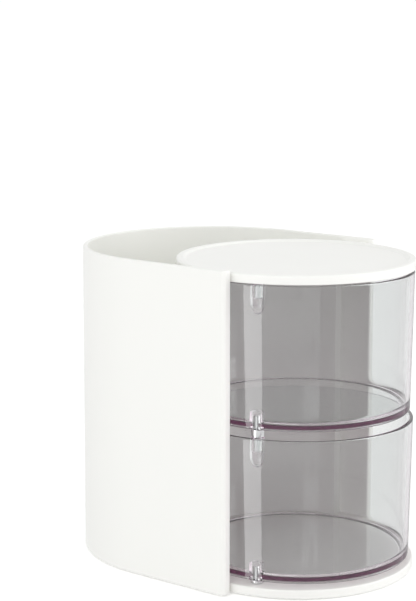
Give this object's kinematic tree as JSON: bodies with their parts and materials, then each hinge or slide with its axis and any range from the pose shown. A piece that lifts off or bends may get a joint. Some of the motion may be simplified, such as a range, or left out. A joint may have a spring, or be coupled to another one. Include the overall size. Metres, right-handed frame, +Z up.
{
  "type": "hair accessory organizer",
  "caption": "Round-backed vanity organizer with an open compartment for brushes and stacked clear round drawers that swing out beneath a tray top.",
  "frame": {"origin": "middle of the bounding box, on the surface that the pads stand on", "axes": "+Z up, -Y towards the drawers, +Y towards the brush compartment, the drawers' pivot on the -X side"},
  "size_m": [0.135, 0.1812, 0.16],
  "materials": {
    "white_plastic": "white injection-moulded plastic, satin to glossy",
    "clear_plastic": "clear polished plastic that looks violet along its thick edges",
    "pin_steel": "plain steel",
    "pad_rubber": "matt grey rubber"
  },
  "bodies": {
    "casing": {"outer_shell": "white_plastic", "drawer_housing": "white_plastic", "top_cover": "white_plastic", "base_plate": "white_plastic", "lower_pivot_pin": "pin_steel", "middle_pivot_pin": "pin_steel", "upper_pivot_pin": "pin_steel", "housing_screw_1": "pin_steel", "housing_screw_2": "pin_steel", "housing_screw_3": "pin_steel", "housing_screw_4": "pin_steel", "shell_screw_1": "pin_steel", "shell_screw_2": "pin_steel", "shell_screw_3": "pin_steel", "anti_slip_pad_1": "pad_rubber", "anti_slip_pad_2": "pad_rubber", "anti_slip_pad_3": "pad_rubber", "anti_slip_pad_4": "pad_rubber"},
    "lower_drawer": {"lower_drawer": "clear_plastic"},
    "upper_drawer": {"upper_drawer": "clear_plastic"}
  },
  "joints": [
    {"name": "lower_drawer_swing", "type": "hinge", "parent": "casing", "child": "lower_drawer", "pos_m": [-0.05114, -0.04393, 0.0072], "axis": [0, 0, -1], "range_deg": [0, 115]},
    {"name": "upper_drawer_swing", "type": "hinge", "parent": "casing", "child": "upper_drawer", "pos_m": [-0.05114, -0.04393, 0.08215], "axis": [0, 0, -1], "range_deg": [0, 115]}
  ]
}
